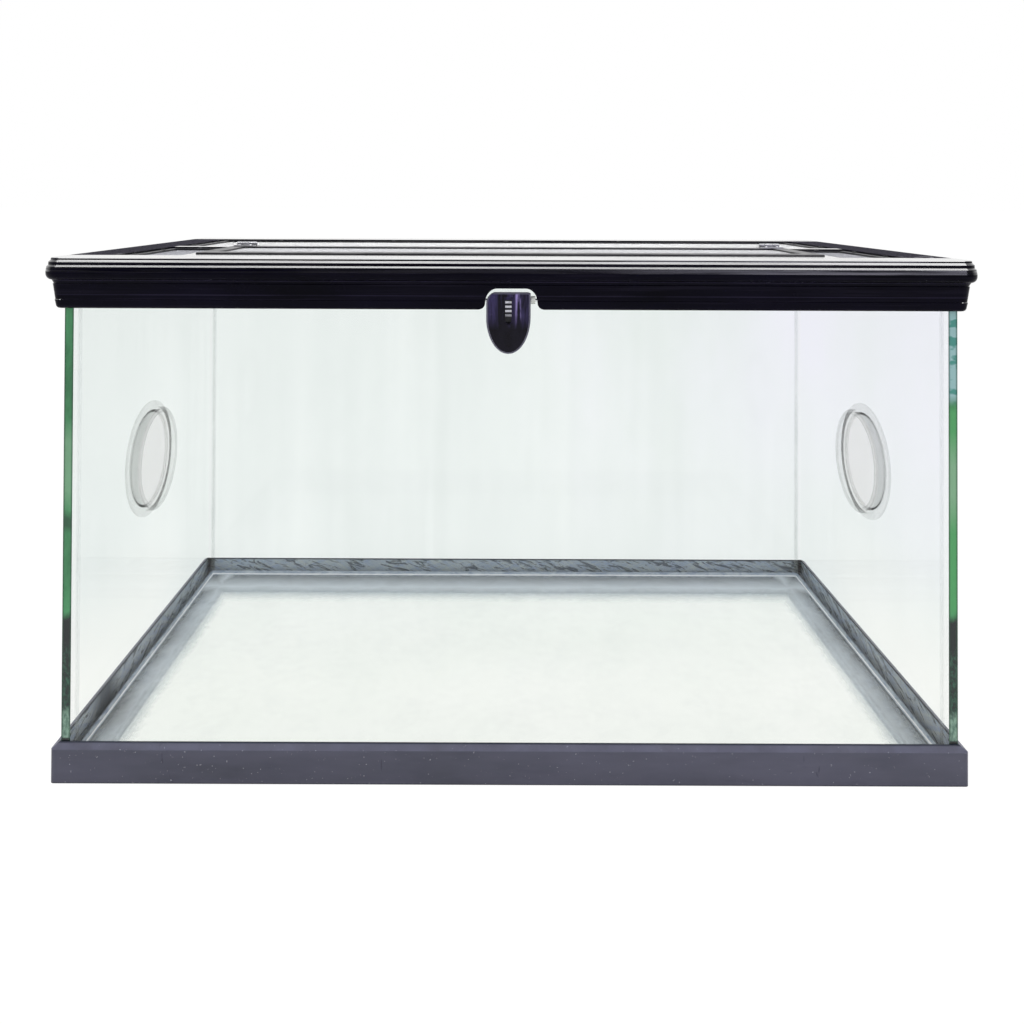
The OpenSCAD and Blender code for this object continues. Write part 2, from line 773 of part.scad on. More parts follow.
// The ribbed thumb piece and its shank through the slot
module latch_slider() {
    seat = tongue_front - recess_t;
    first = thumb_low + 1.3;
    color([0.16, 0.15, 0.2]) translate([tongue_x, 0, 0]) {
        block([-thumb_half, -seat - 0.9, thumb_low], [thumb_half, -seat - 0.1, thumb_high]);
        for (i = [0 : rib_count - 1])
            translate([-thumb_half, -thumb_front, first + i * rib_pitch - 0.7])
                cube([2 * thumb_half, thumb_front - seat - 0.2, 1.4]);
        block([-shank_half, -seat - 0.2, shank_low], [shank_half, -tongue_back + 0.1, shank_high]);
    }
}

// The clip behind the tongue, with the finger that locks behind the keeper
module slider_clip() {
    near = tongue_back - 0.1;
    color(black) translate([tongue_x, 0, 0]) {
        block([-clip_half, -near, clip_low], [clip_half, -near + clip_t, clip_high]);
        block([-finger_half, -near + clip_t - eps, clip_low],
              [finger_half, -finger_reach, clip_low + 1.3]);
        block([-finger_half, -finger_reach - finger_t, finger_low],
              [finger_half, -finger_reach, clip_low + 0.5]);
    }
}

// ---------- assembly ----------

base_frame();
bottom_glass();
front_glass();
back_glass();
side_glass(-1);  // left_glass
side_glass(1);  // right_glass
corner_seals();
floor_seal();
vent_outer(-1);  // left_vent_outer
vent_inner(-1);  // left_vent_inner
vent_mesh(-1);  // left_vent_mesh
vent_outer(1);  // right_vent_outer
vent_inner(1);  // right_vent_inner
vent_mesh(1);  // right_vent_mesh
hinge_bracket(-1);  // left_hinge_bracket
hinge_bracket(1);  // right_hinge_bracket
hinge_pin(-1);  // left_hinge_pin
hinge_pin(1);  // right_hinge_pin
hinge_pads();
latch_keeper();
keeper_pad();
lid_frame();
window_mesh(windows()[0]);  // rear_mesh
window_mesh(windows()[1]);  // left_mesh
window_mesh(windows()[2]);  // right_mesh
window_retainer(windows()[0]);  // rear_retainer
window_retainer(windows()[1]);  // left_retainer
window_retainer(windows()[2]);  // right_retainer
retainer_screws();
latch_pin();
latch_bush();
door_hinge_base(-1);  // left_door_hinge_base
door_hinge_base(1);  // right_door_hinge_base
door_hinge_pin(-1);  // left_door_hinge_pin
door_hinge_pin(1);  // right_door_hinge_pin
door_frame();
door_mesh();
door_retainer();
door_screws();
door_hinge_leaf(-1);  // left_door_hinge_leaf
door_hinge_leaf(1);  // right_door_hinge_leaf
door_hinge_screws();
latch_tongue();
latch_slider();
slider_clip();
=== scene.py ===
"""Looks for the reptile terrarium: materials, woven meshes, light, floor and camera, in metres."""

import math

import bpy
import numpy as np
from mathutils import Matrix, Vector


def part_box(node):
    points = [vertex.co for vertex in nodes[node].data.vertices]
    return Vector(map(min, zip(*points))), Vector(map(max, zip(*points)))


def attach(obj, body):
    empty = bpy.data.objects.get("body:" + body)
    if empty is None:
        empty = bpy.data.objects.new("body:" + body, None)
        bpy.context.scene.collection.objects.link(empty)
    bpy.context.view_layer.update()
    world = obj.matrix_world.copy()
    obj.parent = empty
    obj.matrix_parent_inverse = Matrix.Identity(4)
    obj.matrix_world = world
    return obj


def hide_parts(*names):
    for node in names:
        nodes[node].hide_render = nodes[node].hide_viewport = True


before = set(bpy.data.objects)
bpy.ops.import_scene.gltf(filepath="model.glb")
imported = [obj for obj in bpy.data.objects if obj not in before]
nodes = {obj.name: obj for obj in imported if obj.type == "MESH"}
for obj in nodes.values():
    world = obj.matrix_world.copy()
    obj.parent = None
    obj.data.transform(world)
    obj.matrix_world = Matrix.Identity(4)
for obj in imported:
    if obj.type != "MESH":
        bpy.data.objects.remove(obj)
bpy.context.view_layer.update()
scene = bpy.context.scene

MM = 0.001
X_AXIS, Y_AXIS, Z_AXIS = 0, 1, 2

# places that the materials need, in the solids' frame: heights, and distances from the middle
BASE_TOP = 0.025
SEAT_HALF = (0.3002, 0.1502)
FLOOR_HALF = (0.2938, 0.1438)
# heights of the painted highlight line along the floor bead
BEAD_HIGHLIGHT = (0.01215, 0.0126)
FRONT_GLASS_MIDDLE, SIDE_GLASS_MIDDLE = 0.147, 0.297
VENT_HOLE = (0.17, 0.05)
VENT_INNER_RIM, VENT_FLANGE = 0.2934, 0.3002
# heights of two thin lines round the lid's skirt that are painted as highlights
LID_HIGHLIGHT_LINES = (0.3335, 0.3239)
LID_SHORT_RIM, LID_SHORT_RIM_END = (0.276, 0.3078), 0.128
# heights of the tongue's painted sheen, and the span of its painted glint
TONGUE_SHEEN, TONGUE_GLINT = (0.302, 0.312), (0.0028, 0.0062)
# heights and front face of the slider ribs' painted highlight
SLIDER_RIBS, SLIDER_RIB_FRONT = (0.3095, 0.3145), -0.15905

# ---------------------------------------------------------------- camera

LENS_PX, IMAGE_PX, SENSOR_MM = 874.6, 1024, 36
AXIS_PX = (494.4, 192.5)
CAMERA_AT = (-0.01158, -0.73882, 0.38704)
PITCH, ROLL = 0.01, 0.0039


def make_camera():
    """The camera that was fitted to the photographed edges, in pixels of the photograph."""
    ahead = Vector((0, math.cos(PITCH), math.sin(PITCH)))
    side = Vector((1, 0, 0))
    up = side.cross(ahead)
    right = side * math.cos(ROLL) + up * math.sin(ROLL)
    top = up * math.cos(ROLL) - side * math.sin(ROLL)
    data = bpy.data.cameras.new("camera")
    data.sensor_width = SENSOR_MM
    data.lens = LENS_PX / IMAGE_PX * SENSOR_MM
    data.shift_x = (IMAGE_PX / 2 - AXIS_PX[0]) / IMAGE_PX
    data.shift_y = (AXIS_PX[1] - IMAGE_PX / 2) / IMAGE_PX
    cam = bpy.data.objects.new("camera", data)
    scene.collection.objects.link(cam)
    turn = Matrix((right, top, -ahead)).transposed().to_4x4()
    cam.matrix_world = Matrix.Translation(CAMERA_AT) @ turn
    scene.camera = cam


# ---------------------------------------------------------------- node helpers


class Tree:
    """The node tree of a material or a world, with short calls for its nodes."""

    def __init__(self, owner, output):
        self.owner = owner
        owner.use_nodes = True
        self.tree = owner.node_tree
        self.tree.nodes.clear()
        self.out = self.tree.nodes.new(output)

    def node(self, kind, inputs=(), **settings):
        n = self.tree.nodes.new(kind)
        for key, value in settings.items():
            setattr(n, key, value)
        for key, value in dict(inputs).items():
            self.put(n.inputs[key], value)
        return n

    def put(self, socket, value):
        if isinstance(value, bpy.types.NodeSocket):
            self.tree.links.new(value, socket)
        elif isinstance(value, tuple) and len(value) == 3 and socket.type == "RGBA":
            socket.default_value = (*value, 1)
        else:
            socket.default_value = value

    def math(self, operation, a, b=0.0, clamp=False):
        return self.node("ShaderNodeMath", {0: a, 1: b}, operation=operation, use_clamp=clamp).outputs[0]

    def times(self, a, b):
        return self.math("MULTIPLY", a, b)

    def plus(self, a, b):
        return self.math("ADD", a, b)

    def minus(self, a, b):
        return self.math("SUBTRACT", a, b)

    def larger(self, a, b):
        return self.math("MAXIMUM", a, b)

    def size_of(self, value):
        return self.math("ABSOLUTE", value)

    def axes(self, vector):
        split = self.node("ShaderNodeSeparateXYZ", {0: vector})
        return split.outputs[0], split.outputs[1], split.outputs[2]

    def ramp(self, value, low, high, out_low=0.0, out_high=1.0):
        inputs = {"Value": value, "From Min": low, "From Max": high, "To Min": out_low, "To Max": out_high}
        return self.node("ShaderNodeMapRange", inputs, clamp=True).outputs[0]

    def above(self, value, level, soft):
        """0 below the level and 1 above it, with a soft step."""
        return self.ramp(value, level - soft, level + soft)

    def below(self, value, level, soft):
        """1 below the level and 0 above it, with a soft step."""
        return self.ramp(value, level - soft, level + soft, 1.0, 0.0)

    def band(self, value, low, high, soft):
        """1 between low and high, 0 outside, with soft ends."""
        return self.times(self.above(value, low, soft), self.below(value, high, soft))

    def light_path(self):
        return self.node("ShaderNodeLightPath").outputs

    def show(self, shader):
        self.tree.links.new(shader, self.out.inputs["Surface"])
        return self.owner


class Shader(Tree):
    """A material, with short calls for its noises, colours and surfaces."""

    def __init__(self, name):
        super().__init__(bpy.data.materials.new(name), "ShaderNodeOutputMaterial")
        coordinates = self.node("ShaderNodeTexCoord").outputs
        self.place, self.normal = coordinates["Object"], coordinates["Normal"]

    def at(self):
        """Object coordinates x, y and z."""
        return self.axes(self.place)

    def facing(self):
        """The normal's x, y and z."""
        return self.axes(self.normal)

    def stretched(self, scale):
        return self.node("ShaderNodeMapping", {"Vector": self.place, "Scale": scale}).outputs[0]

    def turned(self, angle, scale):
        """Object coordinates turned about x and y, then divided by scale, for slanting streaks."""
        inputs = {"Vector": self.place, "Rotation": (angle, angle, 0), "Scale": scale}
        return self.node("ShaderNodeMapping", inputs, vector_type="TEXTURE").outputs[0]

    def noise(self, scale, detail=3.0, rough=0.5, vector=None, distortion=0.0):
        inputs = {
            "Vector": vector or self.place, "Scale": scale, "Detail": detail,
            "Roughness": rough, "Distortion": distortion,
        }
        return self.node("ShaderNodeTexNoise", inputs).outputs[0]

    def uneven(self, noise, low, high):
        """A value that drifts from low to high with the noise."""
        return self.ramp(noise, 0.3, 0.7, low, high)

    def mix(self, fac, a, b):
        n = self.node("ShaderNodeMix", data_type="RGBA")
        self.put(n.inputs[0], fac)
        self.put(n.inputs[6], a)
        self.put(n.inputs[7], b)
        return n.outputs[2]

    def shade(self, value, low, high, first, second):
        """The first colour where the value is under low, the second where it is over high."""
        return self.mix(self.ramp(value, low, high), first, second)

    def bump(self, height, strength, distance):
        inputs = {"Height": height, "Strength": strength, "Distance": distance}
        return self.node("ShaderNodeBump", inputs).outputs[0]

    def principled(self, **inputs):
        named = {key.replace("_", " "): value for key, value in inputs.items()}
        return self.node("ShaderNodeBsdfPrincipled", named).outputs[0]

    def diffuse(self, colour):
        return self.node("ShaderNodeBsdfDiffuse", {"Color": colour}).outputs[0]

    def glow(self, strength):
        return self.node("ShaderNodeEmission", {"Strength": strength}).outputs[0]

    def clear(self, tint):
        return self.node("ShaderNodeBsdfTransparent", {"Color": tint}).outputs[0]

    def mixed(self, fac, a, b):
        return self.node("ShaderNodeMixShader", {0: fac, 1: a, 2: b}).outputs[0]

    def from_inside(self):
        """1 where a ray meets the surface from inside the solid."""
        return self.node("ShaderNodeNewGeometry").outputs["Backfacing"]

    def pane(self, tint, rough, share):
        """Clear glass: tinted at each face, with one soft reflection where a ray meets it from outside."""
        shine = self.node("ShaderNodeBsdfGlossy", {"Color": (1.0, 1.0, 1.0), "Roughness": rough}).outputs[0]
        fresnel = self.node("ShaderNodeFresnel", {"IOR": 1.45}).outputs[0]
        outside = self.minus(1.0, self.from_inside())
        return self.mixed(self.times(self.times(fresnel, share), outside), self.clear(tint), shine)


def dress(material, *names):
    """Gives the named CAD nodes the material."""
    for name in names:
        slots = nodes[name].data.materials
        if len(slots):
            for i in range(len(slots)):
                slots[i] = material
        else:
            slots.append(material)


# ---------------------------------------------------------------- glass


def glass_tint(s, x, y, z):
    """Smudges and upright streaks; cooler at the upper right, cleaner low down in the front half."""
    smudge = s.noise(9, 4, 0.6, s.stretched((1, 1, 0.5)))
    streaks = s.noise(70, 3, 0.5, s.stretched((1, 1, 0.03)))
    film = s.plus(s.times(smudge, 0.65), s.times(streaks, 0.35))
    tint = s.shade(film, 0.4, 0.62, (0.934, 0.950, 0.944), (0.957, 0.970, 0.965))
    cool = s.plus(x, s.times(s.minus(smudge, 0.5), 0.6))
    cool = s.times(s.ramp(cool, 0.08, 0.32), s.ramp(z, 0.10, 0.24))
    tint = s.mix(cool, tint, (0.957, 0.959, 0.978))
    clean = s.times(s.ramp(z, 0.06, 0.13, 1.0, 0.0), s.ramp(y, 0.0, 0.08, 1.0, 0.0))
    return s.mix(clean, tint, (0.974, 0.980, 0.970))


def cut_edge(s, x, z, off_middle):
    """Green cut edges, darker along their rims. Along the height the green is banded with painted
    reflections, from the top down: bright green, a pale stretch, a dark band, bright again, near-black,
    mottled dark green, and a pale foot that stands in a black line. On the tank's right the top has
    painted reflections of icy blue blocks, and the greens below them are painted lighter."""
    streak = s.noise(60, 5, 0.6, s.stretched((1, 1, 0.35)), 0.4)
    fine = s.noise(420, 3, 0.6, s.stretched((1, 1, 0.5)))
    wavy_z = s.plus(z, s.times(s.minus(streak, 0.5), 0.014))
    colour = s.shade(streak, 0.35, 0.65, (0.022, 0.15, 0.055), (0.07, 0.33, 0.13))
    # painted reflections banded along the height: a pale stretch, then a dark band
    colour = s.mix(s.times(s.band(wavy_z, 0.185, 0.232, 0.008), 0.8), colour, (0.21, 0.43, 0.25))
    colour = s.mix(s.times(s.band(wavy_z, 0.166, 0.177, 0.003), 0.75), colour, (0.008, 0.045, 0.024))
    # lower down, darker painted reflections: mottled dark green with a near-black band
    dark = s.shade(fine, 0.45, 0.65, (0.006, 0.022, 0.016), (0.03, 0.115, 0.07))
    dark = s.mix(s.band(wavy_z, 0.086, 0.112, 0.004), dark, (0.006, 0.012, 0.012))
    colour = s.mix(s.below(wavy_z, 0.110, 0.003), colour, dark)
    # a pale painted reflection at the foot, and a black painted line where the edge meets the base
    foot = s.shade(fine, 0.4, 0.6, (0.1, 0.2, 0.15), (0.28, 0.45, 0.34))
    colour = s.mix(s.below(wavy_z, 0.044, 0.004), colour, foot)
    colour = s.mix(s.below(z, BASE_TOP + 0.002, 0.0005), colour, (0.004, 0.008, 0.008))

    # on the right, painted reflections: icy blue blocks at the top, lighter greens below
    on_right = s.ramp(x, 0, 0.1)
    blocks = s.noise(90, 2, 0.5, s.stretched((1, 1, 2)))
    icy = s.shade(blocks, 0.42, 0.5, (0.06, 0.30, 0.25), (0.33, 0.56, 0.56))
    colour = s.mix(s.times(on_right, s.above(z, 0.254, 0.004)), colour, icy)
    pale = s.times(s.band(wavy_z, 0.178, 0.222, 0.012), 0.8)
    green = s.mix(pale, (0.075, 0.38, 0.12), (0.27, 0.48, 0.30))
    colour = s.mix(s.times(on_right, s.band(z, 0.112, 0.25, 0.004)), colour, green)

    rim = s.times(s.ramp(off_middle, 0.0016, 0.0026), 0.75)
    colour = s.mix(rim, colour, (0.008, 0.05, 0.026))
    edge = s.principled(Base_Color=colour, Roughness=0.22, IOR=1.5)
    return s.mixed(s.times(s.from_inside(), 0.97), edge, s.clear((0.982, 0.984, 0.984)))


def glass(name, thin_axes, thickness_axis, middle, share, hole=None):
    """Clear float glass. Faces whose normal lies along thin_axes are cut edges, apart from the clear
    rim of the vent's hole. Cut edges seen through the glass are clear as well."""
    s = Shader(name)
    place = s.at()
    x, y, z = place
    pane = s.pane(glass_tint(s, x, y, z), 0.02, share)
    off_middle = s.size_of(s.minus(s.size_of(place[thickness_axis]), middle))
    edge = cut_edge(s, x, z, off_middle)

    normal = s.facing()
    cut = 0.0
    for axis in thin_axes:
        along = s.math("GREATER_THAN", s.size_of(normal[axis]), 0.7)
        cut = s.math("ADD", cut, along, True)
    if hole:
        centre_z, radius = hole
        across, up = s.math("POWER", y, 2), s.math("POWER", s.minus(z, centre_z), 2)
        away = s.math("SQRT", s.plus(up, across))
        cut = s.times(cut, s.math("GREATER_THAN", away, radius))
    return s.show(s.mixed(cut, pane, edge))


def floor_pane():
    """The floor glass, with a little dust on it, and a smeared white haze over the ledge below that
    hides the ledge's inner edge."""
    s = Shader("floor_glass")
    x, y, _ = s.at()
    dust = s.ramp(s.noise(35, 6, 0.65), 0.45, 0.75, 0.0, 0.05)
    tint = s.shade(s.noise(6, 3), 0.35, 0.7, (0.952, 0.968, 0.951), (0.970, 0.979, 0.968))
    pane = s.pane(tint, 0.05, 0.5)

    rub = s.times(s.minus(s.noise(55, 5, 0.7, distortion=0.8), 0.5), 0.012)
    from_side = s.minus(s.minus(FLOOR_HALF[0], s.size_of(x)), rub)
    from_back = s.minus(s.minus(FLOOR_HALF[1], y), rub)
    side_haze = s.times(s.ramp(from_side, 0.004, 0.017, 0.15, 0.7), s.ramp(from_side, 0.017, 0.030, 1, 0))
    back_haze = s.times(s.ramp(from_back, 0.006, 0.028, 0.25, 0.75), s.ramp(from_back, 0.029, 0.048, 1, 0))
    haze = s.larger(side_haze, back_haze)
    return s.show(s.mixed(s.larger(dust, haze), pane, s.diffuse((0.88, 0.94, 1.0))))


# ---------------------------------------------------------------- plastic, silicone and steel


def short_rim(s, y):
    """The lid's matt short rims: violet-black leather grain, with pale flecks at the front ends."""
    leather = s.noise(700, 3, 0.6, s.stretched((1, 0.5, 1)))
    colour = s.shade(leather, 0.42, 0.64, (0.002, 0.0015, 0.006), (0.036, 0.030, 0.056))
    fleck = s.ramp(s.noise(150, 3, 0.6, s.stretched((1, 0.3, 1))), 0.56, 0.62)
    fleck = s.times(fleck, s.ramp(y, -0.135, -0.105, 0.85, 0.0))
    colour = s.mix(fleck, colour, (0.8, 0.8, 0.84))
    return s.principled(
        Base_Color=colour, Roughness=0.6, IOR=1.5, Specular_IOR_Level=0.012,
        Normal=s.bump(leather, 0.3, 0.0004),
    )


def black_gloss():
    """The lid's black moulding, faintly violet: dull and very dark on its upright faces, polished on the
    edges, treads and rims that face upwards, and matt on the rims of the two short sides. Its drawn
    streaks are painted a little lighter as a sheen, and two thin lines round the skirt are painted
    highlights."""
    s = Shader("gloss_black")
    x, y, z = s.at()
    cloud = s.noise(14, 4, 0.6, s.stretched((1, 1, 3)))
    drawn = s.noise(420, 3, 0.6, s.stretched((0.02, 0.02, 1)))
    dust = s.ramp(s.noise(900, 2, 0.7), 0.68, 0.80)
    colour = s.shade(cloud, 0.3, 0.7, (0.0012, 0.001, 0.0036), (0.0034, 0.0026, 0.010))
    # painted sheen: the drawn streaks are painted lighter; the same streaks also vary roughness and polish
    colour = s.mix(s.times(s.ramp(drawn, 0.55, 0.7), 0.5), colour, (0.013, 0.011, 0.022))
    colour = s.mix(s.times(dust, 0.12), colour, (0.12, 0.11, 0.15))
    # painted highlights: two thin lighter lines round the skirt, where its small steps catch the light
    for highlight_height in LID_HIGHLIGHT_LINES:
        line = s.band(z, highlight_height - 0.0003, highlight_height + 0.0003, 0.0002)
        line = s.times(line, s.ramp(cloud, 0.3, 0.6, 0.3, 1.0))
        colour = s.mix(line, colour, (0.020, 0.017, 0.036))
    wave = s.noise(120, 2, 0.5, s.stretched((0.3, 1, 1)))
    dull = s.principled(
        Base_Color=colour, Roughness=s.uneven(s.noise(60, 4, 0.6), 0.16, 0.3), IOR=1.13,
        Normal=s.bump(wave, 0.05, 0.0006),
    )
    polished = s.principled(
        Base_Color=colour, Roughness=s.ramp(drawn, 0.35, 0.65, 0.05, 0.2), IOR=1.5,
        Coat_Weight=0.8, Coat_Roughness=0.08, Normal=s.bump(wave, 0.03, 0.0004),
    )
    upward = s.facing()[Z_AXIS]
    level = s.ramp(upward, 0.25, 0.45)
    worn = s.larger(level, s.ramp(drawn, 0.42, 0.58))
    body = s.mixed(s.times(s.ramp(upward, 0.04, 0.1), worn), dull, polished)
    at_short_rim = s.band(s.size_of(x), *LID_SHORT_RIM, 0.0002)
    at_short_rim = s.times(at_short_rim, s.below(s.size_of(y), LID_SHORT_RIM_END, 0.001))
    return s.show(s.mixed(s.times(at_short_rim, level), body, short_rim(s, y)))


def black_satin():
    """Satin black strips of the mesh frames."""
    s = Shader("satin_black")
    colour = s.shade(s.noise(40, 4), 0.3, 0.7, (0.008, 0.008, 0.01), (0.02, 0.019, 0.026))
    grain = s.bump(s.noise(1600, 2, 0.6), 0.08, 0.0003)
    rough = s.uneven(s.noise(90, 3), 0.28, 0.42)
    return s.show(s.principled(Base_Color=colour, Roughness=rough, IOR=1.5, Normal=grain))


def silicone_bed(s, x, y, z):
    """The streaky bed that holds the glass, gouged here and there, with a dark stain on the left."""
    steep = s.noise(1, 5, 0.7, s.turned(0.65, (0.03, 0.03, 0.0024)), 0.4)
    gentle = s.noise(1, 5, 0.7, s.turned(-0.4, (0.045, 0.045, 0.003)), 0.4)
    smear = s.plus(s.times(s.ramp(steep, 0.36, 0.62), 0.5), s.times(s.ramp(gentle, 0.36, 0.6), 0.5))
    colour = s.mix(smear, (0.62, 0.72, 0.98), (0.95, 0.98, 1.0))
    gouge = s.ramp(s.noise(1, 4, 0.7, s.turned(0.3, (0.02, 0.02, 0.0035)), 1.0), 0.53, 0.58, 0.0, 0.75)
    stain = s.times(s.band(y, -0.100, -0.066, 0.010), s.ramp(x, -0.27, -0.26, 0.8, 0.0))
    colour = s.mix(s.larger(gouge, stain), colour, (0.04, 0.05, 0.08))
    return s.mix(s.above(z, BASE_TOP - 0.0011, 0.0005), colour, (0.05, 0.055, 0.08))


def base_plastic():
    """Purple-grey base moulding, with scuffs, scratches and pale specks, a bevel painted lighter as lit
    from above, a dark seam at the glass and a dark line at the foot; inside the glass seat lies the
    silicone bed."""
    s = Shader("base_plastic")
    x, y, z = s.at()
    cloud = s.noise(7, 4, 0.6, s.stretched((1, 1, 4)))
    colour = s.shade(cloud, 0.35, 0.7, (0.058, 0.060, 0.087), (0.100, 0.100, 0.146))
    scuff = s.ramp(s.noise(24, 6, 0.7, s.stretched((1, 1, 5)), 0.6), 0.6, 0.72, 0.0, 0.35)
    colour = s.mix(scuff, colour, (0.05, 0.046, 0.075))
    scratch = s.ramp(s.noise(75, 4, 0.6, s.stretched((1, 1, 0.25)), 0.5), 0.68, 0.72, 0.0, 0.5)
    colour = s.mix(scratch, colour, (0.03, 0.028, 0.05))
    speck = s.ramp(s.noise(700, 1.5, 0.6), 0.735, 0.765, 0.0, 0.7)
    colour = s.mix(speck, colour, (0.62, 0.62, 0.68))
    # painted light: the bevel along the top, which faces up, is painted lighter
    bevel = s.times(s.above(z, BASE_TOP - 0.003, 0.0003), s.ramp(s.noise(40, 5, 0.6), 0.3, 0.6, 0.1, 0.6))
    colour = s.mix(bevel, colour, (0.15, 0.155, 0.24))
    seam = s.ramp(z, BASE_TOP - 0.0007, BASE_TOP - 0.0002)
    colour = s.mix(seam, colour, (0.008, 0.014, 0.034))
    foot = s.ramp(z, 0.0003, 0.0009, 0.8, 0.0)
    colour = s.mix(foot, colour, (0.01, 0.01, 0.02))
    between_sides = s.math("LESS_THAN", s.size_of(x), SEAT_HALF[0])
    between_ends = s.math("LESS_THAN", s.size_of(y), SEAT_HALF[1])
    colour = s.mix(s.times(between_sides, between_ends), colour, silicone_bed(s, x, y, z))
    rough = s.uneven(s.noise(50, 4), 0.38, 0.55)
    grain = s.bump(s.noise(1400, 2, 0.6), 0.12, 0.0003)
    return s.show(s.principled(Base_Color=colour, Roughness=rough, IOR=1.46, Normal=grain))


def silicone(s, colour):
    """The body of a silicone bead, with a wavy tooled surface."""
    wavy = s.bump(s.noise(120, 3), 0.2, 0.0006)
    return s.principled(Base_Color=colour, Roughness=0.25, IOR=1.41, Normal=wavy)


def corner_silicone():
    """The nearly clear beads in the upright corners."""
    s = Shader("silicone_corner")
    see = s.uneven(s.noise(80, 4, 0.5, s.stretched((1, 1, 0.3))), 0.86, 0.95)
    return s.show(s.mixed(see, silicone(s, (0.82, 0.88, 0.88)), s.clear((0.985, 0.987, 0.987))))


def floor_silicone():
    """The bead round the floor glass: smeared blue-grey, with a painted highlight line along its middle."""
    s = Shader("silicone_floor")
    z = s.at()[Z_AXIS]
    smear = s.noise(90, 5, 0.7, s.stretched((1, 1, 4)), 1.0)
    colour = s.shade(smear, 0.35, 0.65, (0.30, 0.37, 0.50), (0.86, 0.93, 1.0))
    # painted highlight: a thin bright opaque line along the bead's middle
    line = s.band(z, *BEAD_HIGHLIGHT, 0.0001)
    colour = s.mix(line, colour, (0.98, 0.98, 0.98))
    see = s.times(s.uneven(smear, 0.1, 0.35), s.minus(1.0, line))
    return s.show(s.mixed(see, silicone(s, colour), s.clear((0.93, 0.95, 0.95))))


def vent_plastic():
    """Clear plastic of the vent rings, slightly milky on the flange outside, with a grey rim inside."""
    s = Shader("vent_plastic")
    out = s.size_of(s.at()[X_AXIS])
    rim = s.below(out, VENT_INNER_RIM, 0.0002)
    flange = s.above(out, VENT_FLANGE, 0.0002)
    cloud = s.noise(45, 4)
    colour = s.shade(cloud, 0.3, 0.7, (0.80, 0.80, 0.79), (0.92, 0.92, 0.91))
    colour = s.mix(rim, colour, (0.56, 0.57, 0.57))
    body = s.principled(
        Base_Color=colour, Roughness=s.uneven(s.noise(120, 3), 0.2, 0.34), IOR=1.25,
        Normal=s.bump(s.noise(260, 2), 0.08, 0.0004),
    )
    see = s.minus(s.uneven(cloud, 0.945, 0.975), s.times(flange, 0.12))
    see = s.minus(see, s.times(rim, 0.2))
    return s.show(s.mixed(see, body, s.clear((0.988, 0.99, 0.988))))


def steel(name, light, rough, brushed=900, metallic=1.0):
    """Bright metal with a fine drawn grain."""
    s = Shader(name)
    grain = s.noise(brushed, 3, 0.6, s.stretched((0.08, 1, 1)))
    low = tuple(v * 0.82 for v in light)
    colour = s.shade(grain, 0.3, 0.7, low, light)
    roughness = s.uneven(grain, rough, rough + 0.14)
    return s.show(s.principled(Base_Color=colour, Metallic=metallic, Roughness=roughness))


def wire_steel(name, light, metallic):
    """Steel for the meshes' thin wires."""
    return steel(name, light, 0.4, 1500, metallic)


def black_steel():
    """Blackened screws."""
    s = Shader("black_steel")
    colour = s.shade(s.noise(700, 3), 0.35, 0.7, (0.02, 0.02, 0.022), (0.06, 0.06, 0.064))
    return s.show(s.principled(Base_Color=colour, Metallic=0.6, Roughness=0.38))


def tongue_plastic():
    """Gloss violet-black plastic: nearly black at the tip, with painted sheen in violet and lavender
    streaks and a painted glint towards the pin, and a painted highlight on its bevelled rim."""
    s = Shader("latch_violet")
    x, _, z = s.at()
    sheen_streaks = s.noise(210, 4, 0.6, s.stretched((1, 1, 0.12)), 0.3)
    cloud = s.noise(120, 3, 0.5, s.stretched((1, 1, 0.4)))
    colour = s.shade(cloud, 0.35, 0.65, (0.002, 0.0015, 0.005), (0.006, 0.005, 0.012))
    # painted sheen: violet streaks over the upper part
    upper = s.ramp(z, *TONGUE_SHEEN)
    colour = s.mix(s.times(upper, s.ramp(sheen_streaks, 0.42, 0.6)), colour, (0.042, 0.033, 0.10))
    # painted glint: a lavender streak in a narrow upright strip
    glint = s.times(s.ramp(sheen_streaks, 0.5, 0.62), s.band(x, *TONGUE_GLINT, 0.0006))
    colour = s.mix(s.times(upper, glint), colour, (0.36, 0.29, 0.62))
    # painted highlight on the bevelled rim, picked by the way it faces
    rim_highlight = s.band(s.facing()[Y_AXIS], -0.93, -0.35, 0.04)
    colour = s.mix(s.times(rim_highlight, 0.8), colour, (0.17, 0.165, 0.22))
    rough = s.uneven(s.noise(160, 3), 0.16, 0.28)
    wavy = s.bump(s.noise(420, 2), 0.08, 0.0004)
    return s.show(s.principled(Base_Color=colour, Roughness=rough, IOR=1.25, Normal=wavy))


def slider_plastic():
    """Dark plastic whose ribs are painted pale in front as a highlight, the upper ones most."""
    s = Shader("slider_violet")
    _, y, z = s.at()
    cloud = s.noise(260, 3)
    colour = s.shade(cloud, 0.35, 0.65, (0.006, 0.006, 0.010), (0.02, 0.02, 0.028))
    # painted highlight on the ribs' front faces, strongest on the upper ribs
    rib_highlight = s.times(s.below(y, SLIDER_RIB_FRONT, 0.0001), s.ramp(z, *SLIDER_RIBS, 0.12, 1.0))
    colour = s.mix(s.times(rib_highlight, s.ramp(cloud, 0.2, 0.5, 0.6, 1.0)), colour, (0.62, 0.62, 0.68))
    return s.show(s.principled(Base_Color=colour, Roughness=0.32, IOR=1.4))


def pale_plastic():
    """Undyed plastic of the latch's spacer."""
    s = Shader("natural_plastic")
    colour = s.shade(s.noise(300, 3), 0.3, 0.7, (0.60, 0.63, 0.58), (0.78, 0.80, 0.76))
    return s.show(s.principled(Base_Color=colour, Roughness=0.4, IOR=1.48))


